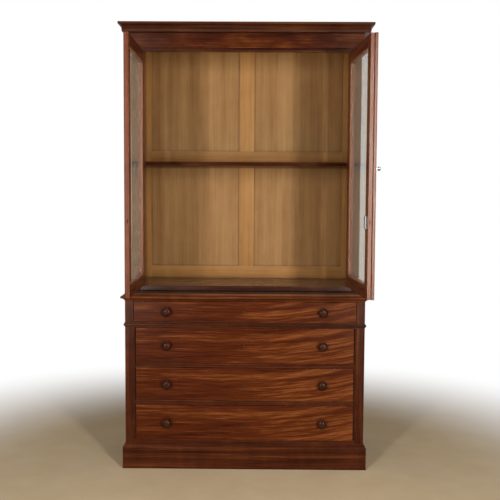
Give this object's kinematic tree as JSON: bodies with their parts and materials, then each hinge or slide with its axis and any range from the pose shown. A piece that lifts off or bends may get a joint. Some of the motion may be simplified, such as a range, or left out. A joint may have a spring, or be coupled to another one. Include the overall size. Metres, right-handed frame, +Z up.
{
  "type": "linen press",
  "caption": "Tall linen press: a chest of long drawers with turned knobs on a plinth, and a shelved case with glazed doors under a moulded cornice.",
  "frame": {"origin": "on the floor under the plinth's front board, midway along it, in the plane of the chest's front", "axes": "+Z up, +X to the right as seen from the front, +Y towards the back"},
  "size_m": [1.24, 0.9489, 2.195],
  "materials": {
    "mahogany": "French polish",
    "figured_mahogany": "French polish",
    "turned_mahogany": "French polish",
    "oak": "waxed",
    "pine": "bare",
    "glass": "polished",
    "brass": "aged",
    "steel": "dull"
  },
  "bodies": {
    "cabinet": {"plinth_front": "mahogany", "plinth_sides": "mahogany", "plinth_back": "pine", "plinth_blocks": "pine", "base_side_left": "mahogany", "base_side_right": "mahogany", "base_stiles": "mahogany", "base_top_board": "mahogany", "base_bottom_board": "pine", "base_back": "pine", "drawer_rails": "mahogany", "drawer_runners": "pine", "drawer_stops": "pine", "bead_moulding": "mahogany", "waist_moulding": "mahogany", "upper_side_left": "mahogany", "upper_side_right": "mahogany", "upper_front_frame": "mahogany", "upper_bottom_board": "mahogany", "upper_top_board": "pine", "frieze": "mahogany", "cornice": "mahogany", "back_frame": "oak", "back_panels": "oak", "shelf": "mahogany", "hinge_fixed_leaves": "brass", "hinge_pins": "brass"},
    "left_door": {"left_door_hanging_stile": "mahogany", "left_door_meeting_stile": "mahogany", "left_door_rails": "mahogany", "left_door_glass": "glass", "left_door_glazing_beads": "mahogany", "left_door_hinge_leaves": "brass", "left_door_bolt_plates": "brass"},
    "right_door": {"right_door_hanging_stile": "mahogany", "right_door_meeting_stile": "mahogany", "right_door_rails": "mahogany", "right_door_glass": "glass", "right_door_glazing_beads": "mahogany", "right_door_hinge_leaves": "brass", "right_door_cover_strip": "mahogany", "right_door_lock": "steel", "right_door_knob": "brass"},
    "top_bolt": {"top_bolt": "brass"},
    "bottom_bolt": {"bottom_bolt": "brass"},
    "lock_bolt": {"lock_bolt": "brass"},
    "drawer_1": {"drawer_1_front": "figured_mahogany", "drawer_1_box": "oak", "drawer_1_knobs": "turned_mahogany"},
    "drawer_2": {"drawer_2_front": "figured_mahogany", "drawer_2_box": "oak", "drawer_2_knobs": "turned_mahogany"},
    "drawer_3": {"drawer_3_front": "figured_mahogany", "drawer_3_box": "oak", "drawer_3_knobs": "turned_mahogany"},
    "drawer_4": {"drawer_4_front": "figured_mahogany", "drawer_4_box": "oak", "drawer_4_knobs": "turned_mahogany"}
  },
  "joints": [
    {"name": "left_door_hinge", "type": "hinge", "parent": "cabinet", "child": "left_door", "pos_m": [-0.52625, 0.045, 0.9155], "axis": [0, 0, -1], "range_deg": [-89.4, 75.6]},
    {"name": "right_door_hinge", "type": "hinge", "parent": "cabinet", "child": "right_door", "pos_m": [0.52625, 0.045, 0.9155], "axis": [0, 0, 1], "range_deg": [-94, 71]},
    {"name": "top_bolt_slide", "type": "slide", "parent": "left_door", "child": "top_bolt", "axis": [0, 0, 1], "range_m": [0, 0.014]},
    {"name": "bottom_bolt_slide", "type": "slide", "parent": "left_door", "child": "bottom_bolt", "axis": [0, 0, -1], "range_m": [0, 0.014]},
    {"name": "lock_bolt_slide", "type": "slide", "parent": "right_door", "child": "lock_bolt", "axis": [0.0698, -0.9976, 0], "range_m": [0, 0.008]},
    {"name": "drawer_1_slide", "type": "slide", "parent": "cabinet", "child": "drawer_1", "axis": [0, -1, 0], "range_m": [0, 0.36]},
    {"name": "drawer_2_slide", "type": "slide", "parent": "cabinet", "child": "drawer_2", "axis": [0, -1, 0], "range_m": [0, 0.36]},
    {"name": "drawer_3_slide", "type": "slide", "parent": "cabinet", "child": "drawer_3", "axis": [0, -1, 0], "range_m": [0, 0.36]},
    {"name": "drawer_4_slide", "type": "slide", "parent": "cabinet", "child": "drawer_4", "axis": [0, -1, 0], "range_m": [0, 0.36]}
  ]
}
